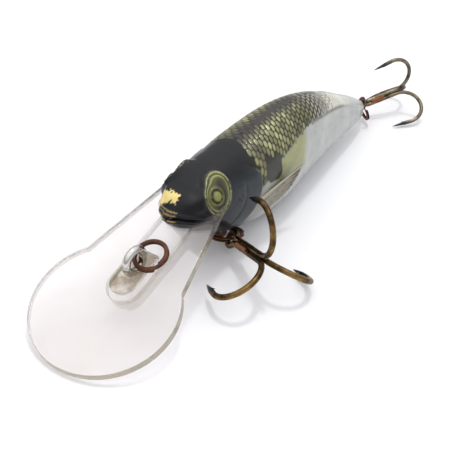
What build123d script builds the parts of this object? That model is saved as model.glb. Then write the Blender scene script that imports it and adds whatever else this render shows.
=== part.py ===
"""Deep-diving crankbait: a hollow two-part fish body, a clear diving lip and two swinging treble hooks.

Frame: origin at the centre of the line-tie eye, +X towards the lip's tip, +Y to the fish's left,
+Z up. The lure lies on a level surface at z = TABLE_Z, as it would on a bench.
"""

from build123d import *
from math import cos, radians, sin
import os

# ---------------------------------------------------------------- driving dimensions (mm, degrees)
TABLE_Z = -8.7
WALL = 1.1

# Body: nose centre, nose-up pitch of the body axis, and its stations from the nose to the tail.
NOSE = Vector(-8.55, 0, 3.05)
BODY_PITCH = 7.0
BODY_LENGTH = 62.0
# distance from the nose, height above the axis, depth below it, half width
STATIONS = [
    (0.0, 1.3, -1.0, 1.2),
    (1.0, 2.7, -2.2, 2.7),
    (3.5, 4.4, -3.7, 4.4),
    (8.0, 6.3, -5.5, 5.6),
    (14.0, 7.6, -7.2, 6.4),
    (21.0, 8.6, -8.2, 6.7),
    (29.0, 9.3, -7.8, 6.2),
    (37.0, 9.2, -6.0, 5.2),
    (45.0, 8.0, -4.4, 4.2),
    (53.0, 5.7, -3.3, 3.1),
    (59.0, 3.5, -2.7, 2.2),
    (BODY_LENGTH, 2.1, -2.1, 1.5),
]
CAVITY_STATIONS = slice(4, 10)
BULKHEADS = (27.8, 34.9, 43.5)
BULKHEAD_THICKNESS = 1.2

# Lip: a flat clear plate with a raised pad under the line tie.
LIP_PITCH = 19.1
LIP_THICKNESS = 1.4
LIP_BELOW_EYE = 1.71
LIP_TIP = 19.8
PADDLE_RX = 11.55
PADDLE_RY = 12.45
NECK_HALF_FRONT = 9.9
NECK_HALF_REAR = 5.8
NECK_END = -16.2
TONGUE_END = -21.0
TONGUE_HALF = 3.4
PAD_HALF = 3.0
PAD_DEPTH = 0.85
PAD_FRONT = 6.4
PAD_BACK = -13.5
DISH_HALF = 2.2
DISH_DEPTH = 0.9
DISH_FRONT = 5.6
DISH_BACK = -2.9

# Line tie and its ring.
TIE_R = 1.92
TIE_WIRE = 0.68
TIE_RING_R = 2.6
TIE_RING_WIRE = 0.42
TIE_RING_CENTRE = Vector(-2.14, 1.40, 0.37)
TIE_RING_NORMAL = Vector(-0.32, 0.0, -0.95)

# Hook hangers: wire figure-of-eight anchors, half of each held in the moulded bosses.
BELLY_HANGER = Vector(-21.5, 0, -6.65)
BELLY_LOOP_R = 1.25
BELLY_WIRE = 0.45
TAIL_HANGER = Vector(-71.7, 0, -3.9)
TAIL_LOOP_R = 1.05
TAIL_WIRE = 0.4

# Split rings: centre direction from the hanger, the direction in which the ring threads it, and
# how far round from the ring's far side the treble's eye hangs.
BELLY_RING_R = 2.7
BELLY_RING_WIRE = 0.42
BELLY_RING_TOWARDS = Vector(0.38, 0.90, 0.24)
BELLY_RING_THREAD = Vector(0.90, -0.43, 0.16)
BELLY_EYE_ROUND = 8.0
TAIL_RING_R = 1.95
TAIL_RING_WIRE = 0.31
TAIL_RING_TOWARDS = Vector(-0.28, 0.21, -0.94)
TAIL_RING_THREAD = Vector(0.60, 0.80, 0)
TAIL_EYE_ROUND = -92.0

# Treble hooks: the spears lean in by this much past a half-round bend.
HOOK_TOE_IN = 6.5

# Rattles and ballast, as distances along and above the body axis.
RATTLES = {"front_rattle_ball": (31.3, 1.0, 2.0, 4.3), "rear_rattle_ball": (39.2, 1.8, 1.7, 3.2)}
RATTLE_CLEARANCE = 0.3
CUP_WALL = 0.8
BALLASTS = {"front_ballast": (19.9, -5.0, 2.0, 5.0), "rear_ballast": (24.5, -5.4, 1.8, 2.6)}

# Locating posts across the seam: distance along and above the axis.
POST_PLACES = ((17.0, 4.6), (31.0, 6.0), (47.0, 3.4))
POST_R = 1.3
PIN_R = 0.6
PIN_LENGTH = 1.2
PIN_CLEARANCE = 0.06

# Moulded eyes and pectoral fins.
EYE_CENTRE = Vector(-14.9, 4.25, 5.5)
EYE_NORMAL = Vector(0.15, 0.80, 0.58)
EYE_RIM_R = 3.1
FIN_ROOT = Vector(-24.0, 5.7, 0.2)
FIN_TIP = Vector(-36.0, 7.9, 2.2)
FIN_LOWER_ROOT = Vector(-26.8, 5.1, -3.2)
FIN_THICKNESS = 0.7

AFT = Vector(-cos(radians(BODY_PITCH)), 0, -sin(radians(BODY_PITCH)))
BODY_UP = Vector(-sin(radians(BODY_PITCH)), 0, cos(radians(BODY_PITCH)))
LIP_FORWARD = Vector(cos(radians(LIP_PITCH)), 0, -sin(radians(LIP_PITCH)))
LIP_NORMAL = Vector(sin(radians(LIP_PITCH)), 0, cos(radians(LIP_PITCH)))
LIP_PLANE = Plane(origin=LIP_NORMAL * -LIP_BELOW_EYE, x_dir=LIP_FORWARD, z_dir=LIP_NORMAL)
CENTRED_UP = (Align.CENTER, Align.CENTER, Align.MIN)


def on_body(along, up=0.0, side=0.0):
    """A point given by its distance from the nose, height above the axis and side offset."""
    return NOSE + AFT * along + BODY_UP * up + Vector(0, side, 0)


def section_plane(along):
    """The plane across the body at a distance from the nose, with local x = +Y and local y = up."""
    return Plane(origin=on_body(along), x_dir=Vector(0, 1, 0), z_dir=Vector(0, 1, 0).cross(BODY_UP))


def egg_section(along, top, bottom, half):
    """An egg-shaped section of four quarter ellipses with its widest point midway up."""
    middle = (top + bottom) / 2
    rise = (top - bottom) / 2
    with BuildSketch(section_plane(along)) as section:
        with Locations((0, middle)):
            Ellipse(half, rise)
    return section.sketch


def body_loft(stations, inset=0.0):
    """The solid through the stations, pulled in by the inset on every side."""
    with BuildPart() as solid:
        for along, top, bottom, half in stations:
            add(egg_section(along, top - inset, bottom + inset, half - inset))
        loft()
    return solid.part


def ring_basis(towards, thread):
    """Unit directions of a ring: to its centre from the hanger, along the thread, and its normal."""
    thread = thread.normalized()
    towards = (towards - thread * towards.dot(thread)).normalized()
    return towards, thread, towards.cross(thread).normalized()


def ring_point(centre, towards, thread, radius, angle):
    """The point of a ring's wire at an angle from its far side, turning towards the thread."""
    return centre + (towards * cos(radians(angle)) + thread * sin(radians(angle))) * radius


def wire_ring(centre, normal, radius, wire):
    """A closed wire ring lying across its normal."""
    with BuildPart() as ring:
        with Locations(Plane(origin=centre, z_dir=normal)):
            Torus(radius, wire)
    return ring.part


def tube_between(start, end, radius):
    """A round bar from one point to another."""
    with BuildPart() as bar:
        with Locations(Plane(origin=start, z_dir=end - start)):
            Cylinder(radius, (end - start).length, align=CENTRED_UP)
    return bar.part


class Treble:
    """A treble hook: a bent pair with the eye, a third hook brazed between them, and the braze."""

    def __init__(self, eye, yaw, rise, roll, wire, shank, bend, leg, eye_r, single):
        flat = Vector(cos(radians(yaw)), sin(radians(yaw)), 0)
        self.eye, self.wire, self.shank, self.bend, self.leg, self.eye_r = eye, wire, shank, bend, leg, eye_r
        self.axis = flat * cos(radians(rise)) + Vector(0, 0, sin(radians(rise)))
        self.up = (Vector(0, 0, 1) - self.axis * self.axis.Z).normalized()
        self.side = self.up.cross(self.axis)
        self.single = single
        self.roll = roll

    def radial(self, index):
        """The direction in which hook 0, 1 or 2 stands out from the shank; hook 0 points nearly up."""
        turn = radians(120 * index + self.roll)
        return self.up * cos(turn) + self.side * sin(turn)

    def hook(self, index, offset):
        """One hook: straight shank, round bend, spear with its point and barb."""
        out = self.radial(index)
        plane = Plane(origin=self.eye, x_dir=self.axis, z_dir=self.axis.cross(out))
        start = self.eye_r * 0.92
        with BuildPart() as hook:
            with BuildLine(plane) as path:
                Line((start, offset), (self.shank, offset))
                CenterArc((self.shank, offset + self.bend), self.bend, -90, 180 + HOOK_TOE_IN)
            bend_end = path.line @ 1
            spear = path.line % 1
            with BuildSketch(Plane(origin=path.line @ 0, z_dir=path.line % 0)):
                Circle(self.wire)
            sweep(path=path.line)
            with Locations(Plane(origin=bend_end, z_dir=spear)):
                Cylinder(self.wire, self.leg * 0.3, align=CENTRED_UP)
            with Locations(Plane(origin=bend_end + spear * self.leg * 0.3, z_dir=spear)):
                Cone(self.wire, self.wire * 0.1, self.leg * 0.7, align=CENTRED_UP)
            barb_root = bend_end + spear * self.leg * 0.62
            barb_back = (spear * -0.86 - out * 0.5).normalized()
            with Locations(Plane(origin=barb_root, z_dir=barb_back)):
                Cone(self.wire * 0.6, self.wire * 0.12, self.wire * 2.6, align=CENTRED_UP)
        return hook.part

    def pair(self):
        """The eye and the two hooks bent from one wire."""
        with BuildPart() as pair:
            add(wire_ring(self.eye, self.radial(self.single), self.eye_r, self.wire))
            for index in (self.single + 1, self.single + 2):
                add(self.hook(index, self.wire * 1.10))
        return pair.part

    def third(self):
        """The third hook, lying in the groove of the pair, its shank starting past the eye."""
        with BuildPart() as third:
            add(self.hook(self.single, self.wire * 1.24))
            with Locations(Plane(origin=self.eye, z_dir=self.axis)):
                Cylinder(self.eye_r * 3, self.eye_r + self.wire * 1.6, align=CENTRED_UP, mode=Mode.SUBTRACT)
        return third.part

    def braze(self, *hooks):
        """Braze metal run into the three grooves between the shanks."""
        with BuildPart() as braze:
            with Locations(Plane(origin=self.eye + self.axis * (self.shank * 0.30), z_dir=self.axis)):
                Cylinder(self.wire * 1.9, self.shank * 0.34, align=CENTRED_UP)
                Cylinder(self.wire * 0.4, self.shank * 0.34, align=CENTRED_UP, mode=Mode.SUBTRACT)
            for hook in hooks:
                add(hook, mode=Mode.SUBTRACT)
        return braze.part


os.makedirs("parts", exist_ok=True)


def save(node, part):
    """Label a finished piece and write its STEP file."""
    part.label = node
    export_step(part, f"parts/{node}.step")


# ---------------------------------------------------------------- wire parts that the body holds
with BuildPart() as belly_hanger:
    anchor = BELLY_HANGER + Vector(0, 0, 2 * BELLY_LOOP_R + 1.6)
    add(wire_ring(BELLY_HANGER, Vector(1, 0, 0), BELLY_LOOP_R, BELLY_WIRE))
    add(wire_ring(anchor, Vector(1, 0, 0), BELLY_LOOP_R * 0.8, BELLY_WIRE))
    neck = (BELLY_HANGER + Vector(0, 0, BELLY_LOOP_R), anchor - Vector(0, 0, BELLY_LOOP_R * 0.8))
    add(tube_between(*neck, BELLY_WIRE))
save("belly_hanger", belly_hanger.part)

with BuildPart() as tail_hanger:
    anchor = TAIL_HANGER - AFT * (2 * TAIL_LOOP_R + 3.4)
    add(wire_ring(TAIL_HANGER, Vector(0, 1, 0), TAIL_LOOP_R, TAIL_WIRE))
    add(wire_ring(anchor, Vector(0, 1, 0), TAIL_LOOP_R * 0.9, TAIL_WIRE))
    neck = (TAIL_HANGER - AFT * TAIL_LOOP_R, anchor + AFT * TAIL_LOOP_R * 0.9)
    add(tube_between(*neck, TAIL_WIRE))
save("tail_hanger", tail_hanger.part)

# ---------------------------------------------------------------- line tie and lip
with BuildPart() as line_tie_eye:
    Torus(TIE_R, TIE_WIRE, rotation=(90, 0, 0))
    with Locations(Plane(origin=LIP_NORMAL * -(TIE_R + 1.2), z_dir=LIP_NORMAL)):
        Cylinder(TIE_WIRE * 0.8, 1.2, align=CENTRED_UP)
save("line_tie_eye", line_tie_eye.part)

with BuildPart() as line_tie_ring:
    add(wire_ring(TIE_RING_CENTRE, TIE_RING_NORMAL, TIE_RING_R, TIE_RING_WIRE))
save("line_tie_ring", line_tie_ring.part)


def stadium(back, front, half):
    """A long pad outline with a square back and a round front end."""
    with Locations(((back + front - half) / 2, 0)):
        Rectangle(front - half - back, 2 * half)
    with Locations((front - half, 0)):
        Circle(half)


with BuildPart() as lip_blank:
    paddle_centre = LIP_TIP - PADDLE_RX
    neck_front = paddle_centre - PADDLE_RX * (1 - (NECK_HALF_FRONT / PADDLE_RY) ** 2) ** 0.5
    with BuildSketch(LIP_PLANE.offset(-LIP_THICKNESS / 2)) as outline:
        with Locations((paddle_centre, 0)):
            Ellipse(PADDLE_RX, PADDLE_RY)
        with BuildLine():
            Polyline(
                (neck_front, NECK_HALF_FRONT),
                (NECK_END, NECK_HALF_REAR),
                (NECK_END, TONGUE_HALF),
                (TONGUE_END, TONGUE_HALF),
                (TONGUE_END, -TONGUE_HALF),
                (NECK_END, -TONGUE_HALF),
                (NECK_END, -NECK_HALF_REAR),
                (neck_front, -NECK_HALF_FRONT),
                close=True,
            )
        make_face()
    extrude(amount=LIP_THICKNESS)
    rim = lip_blank.edges().filter_by(GeomType.ELLIPSE)
    chamfer(rim, 0.3)
    with BuildSketch(LIP_PLANE.offset(-LIP_THICKNESS / 2 - PAD_DEPTH)):
        stadium(PAD_BACK, PAD_FRONT, PAD_HALF)
    extrude(amount=PAD_DEPTH)

with BuildPart() as diving_lip:
    add(lip_blank.part)
    with BuildSketch(LIP_PLANE.offset(LIP_THICKNESS / 2 - DISH_DEPTH)):
        stadium(DISH_BACK, DISH_FRONT, DISH_HALF)
    extrude(amount=DISH_DEPTH, mode=Mode.SUBTRACT)
    add(line_tie_eye.part, mode=Mode.SUBTRACT)
save("diving_lip", diving_lip.part)

# ---------------------------------------------------------------- ballast and rattle balls
ballast_slugs = {}
for node, (along, up, radius, length) in BALLASTS.items():
    with BuildPart() as slug:
        with Locations(Plane(origin=on_body(along - length / 2, up), z_dir=AFT)):
            Cylinder(radius, length, align=CENTRED_UP)
        chamfer(slug.edges().filter_by(GeomType.CIRCLE), 0.3)
    ballast_slugs[node] = slug.part
    save(node, slug.part)

for node, (along, up, radius, _) in RATTLES.items():
    with BuildPart() as ball:
        with Locations(on_body(along, up)):
            Sphere(radius)
    save(node, ball.part)

# ---------------------------------------------------------------- body: two glued half shells
outer = body_loft(STATIONS)
inner = body_loft(STATIONS[CAVITY_STATIONS], WALL)

with BuildPart() as cavity:
    add(inner)
    for along in BULKHEADS:
        with Locations(section_plane(along)):
            Box(30, 40, BULKHEAD_THICKNESS, mode=Mode.SUBTRACT)

with BuildPart() as bosses:
    # hanger boss in the belly
    with Locations(Plane(origin=BELLY_HANGER + Vector(0, 0, 0.9), z_dir=Vector(0, 0, 1))):
        Cylinder(2.4, 5.6, align=CENTRED_UP)
    # ballast cradle
    with Locations(Plane(origin=on_body(21.4, -6.6), x_dir=AFT, z_dir=BODY_UP)):
        Box(10.4, 6.0, 5.0)
    # rattle cups, across the body
    for along, up, radius, _ in RATTLES.values():
        with Locations(Plane(origin=on_body(along, up, -8), z_dir=Vector(0, 1, 0))):
            Cylinder(radius + RATTLE_CLEARANCE + CUP_WALL, 16, align=CENTRED_UP)
    # locating posts
    for along, up in POST_PLACES:
        with Locations(Plane(origin=on_body(along, up, -8), z_dir=Vector(0, 1, 0))):
            Cylinder(POST_R, 16, align=CENTRED_UP)
    add(outer, mode=Mode.INTERSECT)

with BuildPart() as fins:
    fin_x = FIN_TIP - FIN_ROOT
    fin_z = fin_x.cross(FIN_LOWER_ROOT - FIN_ROOT) * -1
    if fin_z.Y < 0:
        fin_z = fin_z * -1
    with BuildSketch(Plane(origin=FIN_ROOT, x_dir=fin_x, z_dir=fin_z)):
        with BuildLine():
            span = fin_x.length
            Line((0, 0), (span, 0))
            ThreePointArc((span, 0), (span * 0.86, -3.3), (span * 0.52, -5.2))
            Polyline((span * 0.52, -5.2), (2.3, -4.6), (0, 0))
        make_face()
    extrude(amount=FIN_THICKNESS)
    mirror(about=Plane.XZ)

with BuildPart() as eyes:
    with Locations(Plane(origin=EYE_CENTRE - EYE_NORMAL.normalized() * 1.6, z_dir=EYE_NORMAL)):
        Cone(EYE_RIM_R + 0.3, EYE_RIM_R - 0.3, 2.1, align=CENTRED_UP)
    with Locations(EYE_CENTRE - EYE_NORMAL.normalized() * 1.5):
        Sphere(2.5)
    mirror(about=Plane.XZ)

with BuildPart() as whole_body:
    add(outer)
    add(cavity.part, mode=Mode.SUBTRACT)
    add(bosses.part)
    add(eyes.part)
    add(fins.part)
    # rattle chambers
    for along, up, radius, reach in RATTLES.values():
        with Locations(Plane(origin=on_body(along, up, -reach), z_dir=Vector(0, 1, 0))):
            Cylinder(radius + RATTLE_CLEARANCE, 2 * reach, align=CENTRED_UP, mode=Mode.SUBTRACT)
    for held in (lip_blank.part, belly_hanger.part, tail_hanger.part, *ballast_slugs.values()):
        add(held, mode=Mode.SUBTRACT)


def pins(radius, length):
    """Round pins reaching from the seam into the right half, one in each post."""
    with BuildPart() as group:
        for along, up in POST_PLACES:
            with Locations(Plane(origin=on_body(along, up), z_dir=Vector(0, -1, 0))):
                Cylinder(radius, length, align=CENTRED_UP)
    return group.part


with BuildPart() as left_body_shell:
    add(whole_body.part)
    split(bisect_by=Plane.XZ, keep=Keep.BOTTOM)
    add(pins(PIN_R, PIN_LENGTH))
save("left_body_shell", left_body_shell.part)

with BuildPart() as right_body_shell:
    add(whole_body.part)
    split(bisect_by=Plane.XZ, keep=Keep.TOP)
    add(pins(PIN_R + PIN_CLEARANCE, PIN_LENGTH + 0.2), mode=Mode.SUBTRACT)
save("right_body_shell", right_body_shell.part)

# ---------------------------------------------------------------- split rings and treble hooks
belly_to, belly_thread, belly_normal = ring_basis(BELLY_RING_TOWARDS, BELLY_RING_THREAD)
belly_ring_centre = BELLY_HANGER + belly_to * BELLY_RING_R
tail_to, tail_thread, tail_normal = ring_basis(TAIL_RING_TOWARDS, TAIL_RING_THREAD)
tail_ring_centre = TAIL_HANGER + tail_to * TAIL_RING_R

save("belly_split_ring", wire_ring(belly_ring_centre, belly_normal, BELLY_RING_R, BELLY_RING_WIRE))
save("tail_split_ring", wire_ring(tail_ring_centre, tail_normal, TAIL_RING_R, TAIL_RING_WIRE))

belly_eye = ring_point(belly_ring_centre, belly_to, belly_thread, BELLY_RING_R, BELLY_EYE_ROUND)
tail_eye = ring_point(tail_ring_centre, tail_to, tail_thread, TAIL_RING_R, TAIL_EYE_ROUND)
TREBLES = {
    "belly": Treble(belly_eye, 60.9, 18.0, 6.4, 0.5, 11.2, 4.4, 3.5, 1.3, single=1),
    "tail": Treble(tail_eye, 146.7, 12.4, 0.0, 0.4, 8.7, 3.6, 4.1, 1.05, single=0),
}
for place, treble in TREBLES.items():
    pair = treble.pair()
    third = treble.third()
    save(f"{place}_hook_pair", pair)
    save(f"{place}_third_hook", third)
    save(f"{place}_hook_braze", treble.braze(pair, third))
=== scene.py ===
"""Looks of a deep-diving crankbait: painted fish body, clear lip, bright line tie and two trebles."""

import json
import logging
import math
from dataclasses import dataclass
from enum import Enum

import bpy
import numpy as np
from bpy.types import Material, Node, NodeSocket, NodeTree, Object
from mathutils import Matrix, Vector


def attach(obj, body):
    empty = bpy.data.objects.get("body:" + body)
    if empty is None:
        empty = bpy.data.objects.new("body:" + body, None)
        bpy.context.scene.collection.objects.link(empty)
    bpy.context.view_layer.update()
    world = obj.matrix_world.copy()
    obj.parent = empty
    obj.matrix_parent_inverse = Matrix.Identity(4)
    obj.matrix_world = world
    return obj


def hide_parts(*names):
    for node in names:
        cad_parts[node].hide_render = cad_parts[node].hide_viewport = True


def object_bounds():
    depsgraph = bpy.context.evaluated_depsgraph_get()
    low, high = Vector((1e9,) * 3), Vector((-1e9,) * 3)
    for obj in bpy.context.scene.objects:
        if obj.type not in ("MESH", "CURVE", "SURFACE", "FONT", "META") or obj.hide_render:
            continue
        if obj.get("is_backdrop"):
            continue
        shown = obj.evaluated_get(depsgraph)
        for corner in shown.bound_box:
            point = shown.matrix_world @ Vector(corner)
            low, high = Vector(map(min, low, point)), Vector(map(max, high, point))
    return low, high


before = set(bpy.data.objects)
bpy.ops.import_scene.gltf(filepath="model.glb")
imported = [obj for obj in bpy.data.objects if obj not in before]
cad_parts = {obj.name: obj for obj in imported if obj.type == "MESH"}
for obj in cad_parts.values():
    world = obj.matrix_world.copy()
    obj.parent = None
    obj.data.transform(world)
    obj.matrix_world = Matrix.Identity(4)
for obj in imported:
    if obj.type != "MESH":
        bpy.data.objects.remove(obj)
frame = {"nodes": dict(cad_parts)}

Array = np.ndarray
MM = 0.001
TABLE_Z = -8.7
log = logging.getLogger("crankbait")


class Side(Enum):
    """Which flank of the fish a piece belongs to; the value is the sign of its Y."""

    LEFT = 1
    RIGHT = -1


# ------------------------------------------------------------------ small shared helpers
def linear(hex_colour: str) -> Array:
    """A scene-linear RGBA colour.

    Args:
        hex_colour: the sRGB colour as RRGGBB.
    Returns:
        Four floats, the last one 1.
    """
    srgb = np.array([int(hex_colour[i : i + 2], 16) for i in (0, 2, 4)]) / 255
    light = np.where(srgb <= 0.04045, srgb / 12.92, ((srgb + 0.055) / 1.055) ** 2.4)
    return np.append(light, 1.0)


def add(tree: NodeTree, kind: str, ins: dict | None = None, **props) -> Node:
    """One node with its properties set and its inputs filled.

    Args:
        tree: the node tree to add to.
        kind: the node's type name.
        ins: input name or index to a constant or to the socket that feeds it.
        props: properties of the node.
    Returns:
        The new node.
    """
    node = tree.nodes.new(kind)
    for name, value in props.items():
        setattr(node, name, value)
    for key, value in (ins or {}).items():
        if isinstance(value, NodeSocket):
            tree.links.new(value, node.inputs[key])
        else:
            node.inputs[key].default_value = value
    return node


def smooth(low: float, high: float, x: Array) -> Array:
    """A soft step from 0 at low to 1 at high; low may be above high."""
    t = np.clip((x - low) / (high - low), 0, 1)
    return t * t * (3 - 2 * t)


def bump_at(x: Array, centre: float, width: float) -> Array:
    """A round ridge of height 1 about a centre."""
    return np.exp(-(((x - centre) / width) ** 2))


def ripple(x: Array, y: Array, z: Array, size: float) -> Array:
    """Repeatable uneven values about 0.

    Args:
        x, y, z: places in mm.
        size: about how large its patches are, in mm.
    Returns:
        A value for each place, from about -2 to 2.
    """
    k = 2.4 / size
    a = np.sin(k * (1.0 * x + 0.6 * y) + 1.3) * np.sin(k * (1.1 * z - 0.7 * x) + 0.4)
    b = np.sin(k * (2.3 * y + 1.7 * z) + 2.1) * np.sin(k * (2.1 * x + 0.3 * z) + 5.0)
    c = np.sin(k * (4.3 * x - 3.1 * y) + 0.7) * np.sin(k * (4.7 * z + 2.9 * y) + 1.9)
    return a + 0.6 * b + 0.35 * c


def through(x: Array, xs: Array, ys: Array) -> Array:
    """A smooth curve through points.

    Args:
        x: where to read it.
        xs, ys: the points, in order.
    Returns:
        The curve's height at each x.
    """
    slope = np.gradient(ys, xs)
    i = np.clip(np.searchsorted(xs, x) - 1, 0, len(xs) - 2)
    h = xs[i + 1] - xs[i]
    t = np.clip((x - xs[i]) / h, 0, 1)
    rise = ys[i + 1] - ys[i]
    a = slope[i] * h - rise
    b = rise - slope[i + 1] * h
    return ys[i] + t * rise + t * (1 - t) * (a * (1 - t) + b * t)


def unit(v: Array) -> Array:
    """The vectors along the last axis, made one long."""
    return v / (np.linalg.norm(v, axis=-1, keepdims=True) + 1e-12)


def mesh_object(name: str, points: Array, faces: list, edges: list = ()) -> Object:
    """A mesh object in the part's frame.

    Args:
        name: its name.
        points: its corners in mm; faces, edges: which corners they join.
    Returns:
        The object, at the origin.
    """
    mesh = bpy.data.meshes.new(name)
    mesh.from_pydata(np.asarray(points, float).reshape(-1, 3) * MM, list(edges), faces)
    mesh.update()
    obj = bpy.data.objects.new(name, mesh)
    bpy.context.scene.collection.objects.link(obj)
    return obj


def skin(name: str, rings: Array, side: Side) -> Object:
    """A closed skin through rows of points.

    Args:
        name: the mesh's name.
        rings: points (mm) on the left flank, a row for each ring from end to end.
        side: the flank that it is for; the right one is mirrored.
    Returns:
        The skin, capped at both ends and facing outwards.
    """
    rows, cols = rings.shape[:2]
    index = np.arange(rows * cols).reshape(rows, cols)
    nxt = np.roll(index, -1, axis=1)
    faces = np.stack([index[:-1], index[1:], nxt[1:], nxt[:-1]], axis=-1).reshape(-1, 4).tolist()
    faces += [index[0].tolist(), index[-1][::-1].tolist()]
    if side is Side.RIGHT:
        faces = [face[::-1] for face in faces]
    return mesh_object(name, rings * np.array([1, side.value, 1]), faces)


def set_attribute(obj: Object, name: str, kind: str, values: Array) -> None:
    """Stores one value per point on a mesh under a name."""
    field = {"FLOAT": "value", "FLOAT_VECTOR": "vector", "FLOAT_COLOR": "color"}[kind]
    attribute = obj.data.attributes.new(name, kind, "POINT")
    attribute.data.foreach_set(field, np.asarray(values, np.float32).ravel())


def shade(obj: Object, angle: float = 40.0) -> None:
    """Smooth shading that keeps edges sharper than the angle."""
    obj.data.polygons.foreach_set("use_smooth", [True] * len(obj.data.polygons))
    obj.data.set_sharp_from_angle(angle=math.radians(angle))


def joined(parts: list[Object], name: str) -> Object:
    """Several objects joined into the first one, under a new name."""
    with bpy.context.temp_override(active_object=parts[0], selected_editable_objects=parts):
        bpy.ops.object.join()
    parts[0].name = name
    return parts[0]


def flattened(obj: Object) -> Object:
    """The object with its modifiers turned into plain mesh at the origin."""
    bpy.context.view_layer.update()
    seen = obj.evaluated_get(bpy.context.evaluated_depsgraph_get())
    mesh = bpy.data.meshes.new_from_object(seen)
    mesh.transform(obj.matrix_world)
    name = obj.name
    bpy.data.objects.remove(obj)
    plain = bpy.data.objects.new(name, mesh)
    bpy.context.scene.collection.objects.link(plain)
    return plain


def mount(obj: Object, body: str, slot: str, *nodes: str) -> None:
    """Hangs a finished piece on its CAD body.

    Args:
        obj: the piece.
        body: the CAD body that carries it; slot: not used; nodes: the CAD nodes it stands for.
    """
    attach(obj, body)
    if nodes:
        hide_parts(*nodes)
    log.info("%s: %d faces on %s", obj.name, len(obj.data.polygons), body)


# ------------------------------------------------------------------ finishes
@dataclass(frozen=True)
class Finish:
    """A plain finish with an optional second colour in uneven patches.

    Args (fields):
        name: the maker's words for it.
        colour: main colour; blotch: colour of the patches; cover: how much of it the patches take.
        grain: size of the patches in millimetres; relief: height of their bump in millimetres.
    """

    name: str
    colour: str
    blotch: str = ""
    cover: float = 0.5
    grain: float = 1.0
    metallic: float = 0.0
    roughness: float = 0.4
    blotch_roughness: float = 0.7
    coat: float = 0.0
    transmission: float = 0.0
    ior: float = 1.5
    relief: float = 0.0
    alpha: float = 1.0

    def make(self) -> Material:
        """The finish as a material, made once."""
        known = bpy.data.materials.get(self.name)
        if known:
            return known
        material = bpy.data.materials.new(self.name)
        material.use_nodes = True
        tree = material.node_tree
        shader = tree.nodes["Principled BSDF"]
        shader.inputs["Base Color"].default_value = linear(self.colour)
        shader.inputs["Metallic"].default_value = self.metallic
        shader.inputs["Roughness"].default_value = self.roughness
        shader.inputs["Coat Weight"].default_value = self.coat
        shader.inputs["Transmission Weight"].default_value = self.transmission
        shader.inputs["Alpha"].default_value = self.alpha
        if self.metallic < 0.5:
            shader.inputs["IOR"].default_value = self.ior
        if self.blotch:
            noise = self.noise(tree, self.grain)
            mask = add(tree, "ShaderNodeMapRange", {0: noise, 1: 0.92 - self.cover, 2: 1.12 - self.cover})
            mix = self.blend(tree, mask.outputs[0], linear(self.colour), linear(self.blotch))
            tree.links.new(mix, shader.inputs["Base Color"])
            ins = {0: mask.outputs[0], 3: self.roughness, 4: self.blotch_roughness}
            rough = add(tree, "ShaderNodeMapRange", ins)
            tree.links.new(rough.outputs[0], shader.inputs["Roughness"])
        if self.relief:
            bump = add(
                tree,
                "ShaderNodeBump",
                {"Height": self.noise(tree, self.grain * 0.5), "Strength": 0.6, "Distance": self.relief * MM},
            )
            tree.links.new(bump.outputs[0], shader.inputs["Normal"])
        self.finish(tree, shader)
        return material

    def finish(self, tree: NodeTree, shader: Node) -> None:
        """Anything a finish adds of its own; a plain finish adds nothing."""

    @staticmethod
    def noise(tree: NodeTree, grain: float) -> NodeSocket:
        """Uneven values about 0.5 over the piece, in patches of the grain's size."""
        place = add(tree, "ShaderNodeTexCoord")
        return add(
            tree,
            "ShaderNodeTexNoise",
            {"Vector": place.outputs["Object"], "Scale": 0.5 / (grain * MM), "Detail": 4.0, "Roughness": 0.6},
        ).outputs[0]

    @staticmethod
    def blend(tree: NodeTree, share: object, first: object, second: object) -> NodeSocket:
        """The colour between two by a share."""
        node = add(tree, "ShaderNodeMix", {0: share, 6: first, 7: second}, data_type="RGBA")
        return node.outputs[2]

    @staticmethod
    def attribute(tree: NodeTree, name: str) -> Node:
        """The node that reads a value stored on the mesh."""
        return add(tree, "ShaderNodeAttribute", attribute_name=name)


@dataclass(frozen=True)
class PaintedBody(Finish):
    """Airbrushed body paint under clear lacquer: zone colours lie on the mesh, metal in their alpha."""

    def finish(self, tree: NodeTree, shader: Node) -> None:
        """Wires the painted zones, their metal and a fine orange peel to the shader."""
        paint = self.attribute(tree, "paint")
        cloud = self.noise(tree, 1.6)
        shading = add(tree, "ShaderNodeMapRange", {0: cloud, 1: 0.3, 2: 0.7, 3: 0.84, 4: 1.12})
        ins = {0: paint.outputs["Color"], "Scale": shading.outputs[0]}
        tone = add(tree, "ShaderNodeVectorMath", ins, operation="SCALE")
        tree.links.new(tone.outputs[0], shader.inputs["Base Color"])
        tree.links.new(paint.outputs["Alpha"], shader.inputs["Metallic"])
        ins = {"Height": self.noise(tree, 0.35), "Strength": 0.10, "Distance": 0.02 * MM}
        scuffs = add(tree, "ShaderNodeBump", ins)
        tree.links.new(scuffs.outputs[0], shader.inputs["Normal"])


@dataclass(frozen=True)
class ScaleFoil(Finish):
    """Gold-olive foil scales with dark worn rims; each scale's own tone lies on the mesh."""

    def finish(self, tree: NodeTree, shader: Node) -> None:
        """Darkens each scale's own tone towards its rim."""
        tone = self.attribute(tree, "tone")
        rim = self.attribute(tree, "rim")
        dark = add(tree, "ShaderNodeVectorMath", {0: tone.outputs["Color"], "Scale": 0.22}, operation="SCALE")
        colour = self.blend(tree, rim.outputs["Fac"], tone.outputs["Color"], dark.outputs[0])
        tree.links.new(colour, shader.inputs["Base Color"])


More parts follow.
